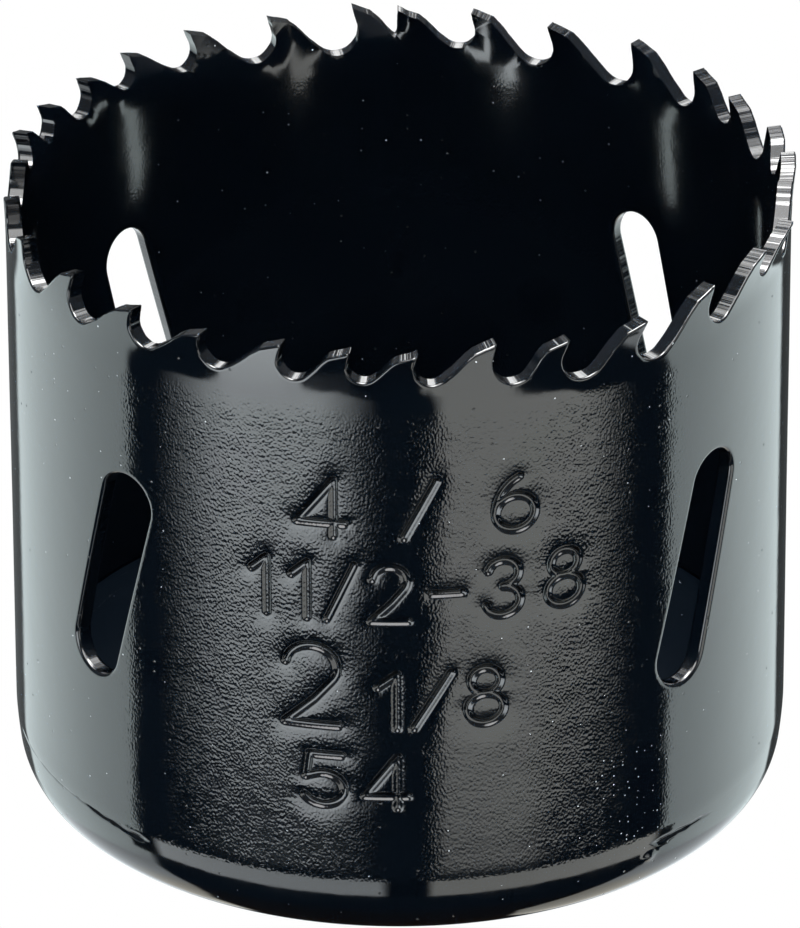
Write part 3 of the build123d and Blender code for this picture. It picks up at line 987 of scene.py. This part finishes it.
def tent_light(direction):
    """Brightness of the light tent by direction from the saw: panels with soft edges."""
    x, y, z = direction[:, 0], direction[:, 1], direction[:, 2]
    az = np.degrees(np.arctan2(x, -y))
    el = np.degrees(np.arcsin(np.clip(z, -1, 1)))
    side = np.abs(az)
    cool = np.array([0.93, 1.0, 1.03])
    warm = np.array([0.98, 1.0, 0.955])
    navy = np.array([0.55, 0.9, 1.5])
    light = np.zeros((len(x), 3)) + navy * 0.03
    # the bright table behind and beside the saw
    back = smooth(y, -0.078, -0.045)
    level = 2.3 - 0.88 * smooth(side, 110, 172)
    light += np.array([0.905, 1.03, 1.035]) * (back * level * (1 - smooth(el, -16, -4)))[:, None]
    # dark strip straight behind, which draws the outline of the wall
    strip = smooth(side, 150.5, 154.5) * smooth(el, -37, -33) * (1 - smooth(el, 5, 20))
    light *= (1 - 0.985 * strip)[:, None]
    light += cool * (np.where(az < 0, 0.12, 0.05) * strip)[:, None]
    # the saw's own shade on the table, and the table lit around it
    edge = np.interp(x, [-0.8, -0.68, -0.563, -0.46, -0.37, -0.31, -0.2, -0.13, -0.11, 0.11, 0.13, 0.2, 0.30, 0.40, 0.53, 0.68, 0.8],
                     [-0.078, -0.043, -0.01, 0.09, 0.23, 0.27, 0.42, 0.6, 2.0, 2.0, 0.55, 0.22, -0.04, -0.08, -0.083, -0.05, -0.078])
    lit = smooth(y - edge, -0.03, 0.03)
    below = 1.0 - smooth(el, -41.0, -38.0)
    table = cool * smooth(el, -60, -50)[:, None] + np.array([1.0, 0.97, 0.86]) * smooth(-el, 50, 60)[:, None]
    floor_light = table * (1.7 * lit)[:, None] + np.array([1.0, 0.72, 0.55]) * (0.03 * (1 - lit) * smooth(-el, 48, 62))[:, None]
    floor_light += navy * (0.03 * (1 - smooth(-el, 48, 62)))[:, None]
    light = light * (1 - below)[:, None] + floor_light * below[:, None]
    # two soft boxes on the camera side
    front = (1.0 - back) * (1 - below)
    lean = 10.0 * smooth(-el, 27.6, 29.4)
    left = smooth(az, lean - 75, lean - 47) * (1 - smooth(az, -27, -5)) * (0.06 * smooth(el, -33.0, -31.0) + 0.94 * smooth(el, -29.0, -27.95))
    left *= (1 + 0.35 * smooth(el, -27.5, -18)) * (1 - smooth(el, -6, 10))
    sink = smooth(-el, 27.6, 30.2)
    right = smooth(az, 9, 13.5) * (1 - smooth(az, 54 - 20 * sink, 72 - 26 * sink)) * (1 - smooth(el, -6, 10))
    right *= np.interp(el, [-36.0, -33.5, -32.2, -31.2, -30.4, -30.0, -29.4, -27.9], [0.02, 0.05, 0.11, 0.34, 0.56, 0.67, 0.82, 1.0])
    light += cool * (front * 4.8 * left)[:, None]
    light += warm * (front * 2.8 * right)[:, None]
    # top light, reaching lower on the camera side
    low = 58.0 - 26.0 * (1 - smooth(side, 15, 55))
    top = (8.5 - 3.5 * smooth(az, 10, 30) * (1 - smooth(az, 70, 95))) * smooth(el, low - 6, low + 5)
    rear = (1.2 + 0.5 * np.sign(az)) * smooth(el, 21, 27) * smooth(side, 153, 165)
    lamp = 7.0 * smooth(side, 163, 168) * smooth(el, 19, 22) * (1 - smooth(el, 38, 42))
    zenith = 40.0 * smooth(el, 69, 73)
    high = np.maximum(np.maximum(top, rear), np.maximum(lamp, zenith))
    light += np.array([1.0, 1.0, 0.99]) * np.maximum(high, 0.22 * smooth(el, -4, 10))[:, None]
    return light


def build_tent():
    cols, rows = 720, 240
    verts, faces = [], []
    el = np.radians(np.linspace(-89.9, 89.9, rows))
    az = 2 * np.pi * np.arange(cols) / cols
    e, a = np.meshgrid(el, az, indexing="ij")
    d = np.stack([np.cos(e) * np.sin(a), -np.cos(e) * np.cos(a), np.sin(e)], 2).reshape(-1, 3)
    verts = d * 1.6 + np.array([0, 0, 0.02])
    j, k = np.meshgrid(np.arange(rows - 1), np.arange(cols), indexing="ij")
    k2 = (k + 1) % cols
    quads = np.stack([j * cols + k, j * cols + k2, (j + 1) * cols + k2, (j + 1) * cols + k], 2).reshape(-1, 4)
    mesh = bpy.data.meshes.new("studio_tent")
    mesh.from_pydata(verts.tolist(), [], quads.tolist())
    light = tent_light(d)
    attr = mesh.color_attributes.new(name="panel", type="FLOAT_COLOR", domain="POINT")
    attr.data.foreach_set("color", np.hstack([light, np.ones((len(light), 1))]).astype(np.float32).ravel())
    obj = bpy.data.objects.new("studio_tent", mesh)
    scene.collection.objects.link(obj)
    mat = emitter("studio_tent_light", "panel")
    mat.cycles.emission_sampling = "NONE"
    mesh.materials.append(mat)
    obj.visible_camera = False
    obj.visible_shadow = False
    return obj


build_tent()


def build_foot_light():
    """Narrow light low in front of the saw, seen only by the band over the weld."""
    theta = np.radians(np.linspace(-78, 78, 313))
    heights = np.array([-41.2, -40.4, -37.5, -34.3, -33.2])
    fade = np.array([0.0, 1.0, 1.0, 1.0, 0.0])
    h, a = np.meshgrid(heights, theta, indexing="ij")
    verts = np.stack([76.5 * np.sin(a), -76.5 * np.cos(a), h], 2).reshape(-1, 3) * MM
    deg = np.degrees(a)
    left = smooth(deg, -70, -66) * (1 - smooth(deg, -6, -2.5))
    right = smooth(deg, 6.5, 9) * (1 - smooth(deg, 70, 74))
    level = fade[:, None] * (3.0 * left + 2.5 * right)
    tint = np.where((deg < 0)[..., None], np.array([0.93, 1.0, 1.03]), np.array([0.98, 1.0, 0.955]))
    colour = np.concatenate([level[..., None] * tint, np.ones(level.shape + (1,))], 2).reshape(-1, 4)
    n = len(theta)
    quads = [[j * n + k, j * n + k + 1, (j + 1) * n + k + 1, (j + 1) * n + k]
             for j in range(len(heights) - 1) for k in range(n - 1)]
    mesh = bpy.data.meshes.new("studio_foot_light")
    mesh.from_pydata(verts.tolist(), [], quads)
    attr = mesh.color_attributes.new(name="panel", type="FLOAT_COLOR", domain="POINT")
    attr.data.foreach_set("color", colour.astype(np.float32).ravel())
    obj = bpy.data.objects.new("studio_foot_light", mesh)
    scene.collection.objects.link(obj)
    mat = emitter("studio_foot_light_glow", "panel")
    mat.cycles.emission_sampling = "NONE"
    mesh.materials.append(mat)
    obj.visible_camera = False
    obj.visible_shadow = False
    obj.visible_diffuse = False


build_foot_light()


def build_hole_shade():
    """The saw stands on the table: black under its holes, so that no light comes up through them."""
    n = 48
    verts, faces = [], []
    spots = [(0.0, 0.0, 8.6)] + [(PIN_PCD / 2 * math.cos(k * math.pi / 2), PIN_PCD / 2 * math.sin(k * math.pi / 2), PIN_R + 0.4) for k in range(4)]
    for x, y, r in spots:
        start = len(verts)
        verts += [((x + r * math.cos(2 * math.pi * k / n)) * MM, (y + r * math.sin(2 * math.pi * k / n)) * MM, -0.03 * MM)
                  for k in range(n)]
        faces.append(list(range(start, start + n)))
    mesh = bpy.data.meshes.new("studio_hole_shade")
    mesh.from_pydata(verts, [], faces)
    obj = bpy.data.objects.new("studio_hole_shade", mesh)
    scene.collection.objects.link(obj)
    mesh.materials.append(emitter("studio_hole_shade_dark", None, (0, 0, 0, 1), 0.0))
    obj.visible_camera = False
    obj.visible_diffuse = False
    obj.visible_shadow = False


build_hole_shade()

# ---------------------------------------------------------------- camera
distance, tilt, roll, yaw, pitch = 0.63159, 27.8146, -0.1918, 0.0055, 0.2323
e0, ee, yw, rl = (math.radians(v) for v in (tilt, tilt + pitch, yaw, roll))
eye = Vector((0, -distance * math.cos(e0), 0.025 + distance * math.sin(e0)))
look = Vector((math.sin(yw) * math.cos(ee), math.cos(yw) * math.cos(ee), -math.sin(ee)))
right = look.cross(Vector((0, 0, 1))).normalized()
up = right.cross(look)
r2 = right * math.cos(rl) + up * math.sin(rl)
u2 = up * math.cos(rl) - right * math.sin(rl)
data = bpy.data.cameras.new("camera")
data.sensor_fit = "HORIZONTAL"
data.sensor_width = 36.0
data.lens = 9269.03 * 36.0 / 800.0
data.clip_start = 0.01
data.clip_end = 50.0
camera = bpy.data.objects.new("camera", data)
scene.collection.objects.link(camera)
m = Matrix((
    (r2.x, u2.x, -look.x, eye.x),
    (r2.y, u2.y, -look.y, eye.y),
    (r2.z, u2.z, -look.z, eye.z),
    (0, 0, 0, 1),
))
camera.matrix_world = m
scene.camera = camera
